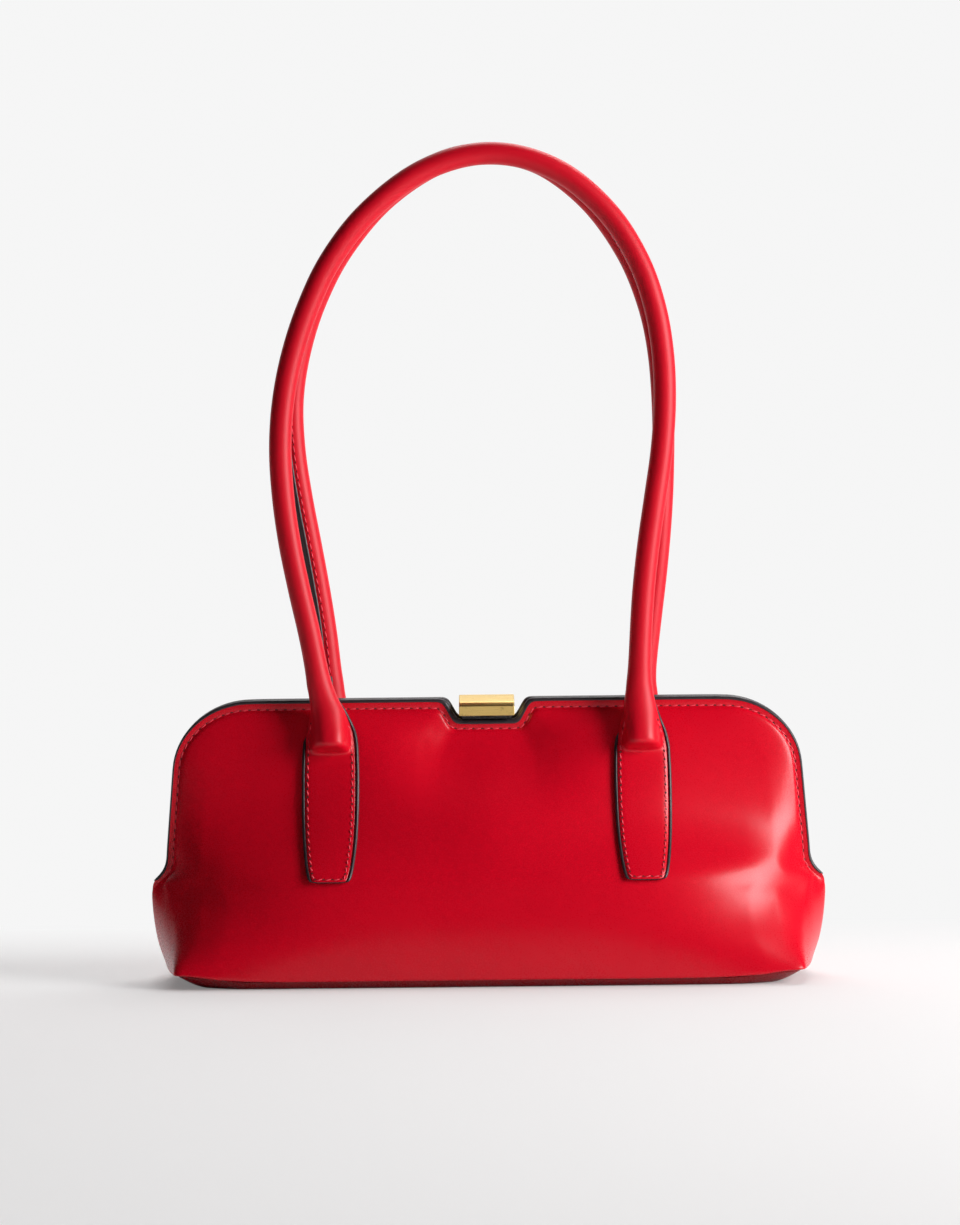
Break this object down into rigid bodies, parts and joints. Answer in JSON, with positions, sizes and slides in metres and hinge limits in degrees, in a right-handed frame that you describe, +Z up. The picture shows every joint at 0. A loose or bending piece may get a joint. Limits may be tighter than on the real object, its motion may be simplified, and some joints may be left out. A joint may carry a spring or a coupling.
{
  "type": "frame bag",
  "caption": "Structured leather bag on a hinged steel frame, with two rolled handles and a flip clasp in a notch at the middle of the rim.",
  "frame": {"origin": "middle of the base, on the surface that the bag stands on", "axes": "+X to the right along the bag, -Y towards the front, +Z up"},
  "size_m": [0.2992, 0.09, 0.3731],
  "materials": {
    "leather": "smooth, glossy",
    "edge_paint": "painted edge",
    "lining": "woven",
    "steel": "satin",
    "black_metal": "black enamel",
    "gold": "polished plate",
    "board": "pressed fibre",
    "filler": "felted cord"
  },
  "bodies": {
    "lower_body": {"front_lower_panel": "leather", "rear_lower_panel": "leather", "base_panel": "leather", "base_welt": "leather", "base_board": "board", "lower_lining": "lining", "left_hinge_pin": "steel", "right_hinge_pin": "steel", "left_hinge_anchor": "steel", "right_hinge_anchor": "steel"},
    "front_half": {"front_upper_panel": "leather", "front_lining": "lining", "front_frame": "steel", "front_edge_trim": "edge_paint", "front_facing": "leather", "front_left_tab": "leather", "front_right_tab": "leather", "front_left_tab_stiffener": "board", "front_right_tab_stiffener": "board", "clasp_keeper": "black_metal", "left_keeper_rivet": "steel", "right_keeper_rivet": "steel"},
    "rear_half": {"rear_upper_panel": "leather", "rear_lining": "lining", "rear_frame": "steel", "rear_edge_trim": "edge_paint", "rear_facing": "leather", "rear_left_tab": "leather", "rear_right_tab": "leather", "rear_left_tab_stiffener": "board", "rear_right_tab_stiffener": "board", "clasp_bracket": "gold", "left_bracket_rivet": "steel", "right_bracket_rivet": "steel", "clasp_pin": "steel", "clasp_spring": "steel"},
    "front_handle": {"front_handle_cover": "leather", "front_handle_core": "filler"},
    "rear_handle": {"rear_handle_cover": "leather", "rear_handle_core": "filler"},
    "clasp_lever": {"clasp_lever": "gold"}
  },
  "joints": [
    {"name": "front_frame_hinge", "type": "hinge", "parent": "lower_body", "child": "front_half", "pos_m": [0, 0, 0.0425], "axis": [1, 0, 0], "range_deg": [0, 30]},
    {"name": "rear_frame_hinge", "type": "hinge", "parent": "lower_body", "child": "rear_half", "pos_m": [0, 0, 0.0425], "axis": [-1, 0, 0], "range_deg": [0, 30]},
    {"name": "front_handle_fold", "type": "hinge", "parent": "front_half", "child": "front_handle", "pos_m": [0, -0.013, 0.124], "axis": [1, 0, 0], "range_deg": [0, 80]},
    {"name": "rear_handle_fold", "type": "hinge", "parent": "rear_half", "child": "rear_handle", "pos_m": [0, 0.013, 0.124], "axis": [-1, 0, 0], "range_deg": [0, 80]},
    {"name": "clasp_lift", "type": "hinge", "parent": "rear_half", "child": "clasp_lever", "pos_m": [0, 0.0036, 0.1212], "axis": [-1, 0, 0], "range_deg": [0, 90], "stiffness_Nm_per_rad": 0.004, "springref_deg": -28.65}
  ]
}
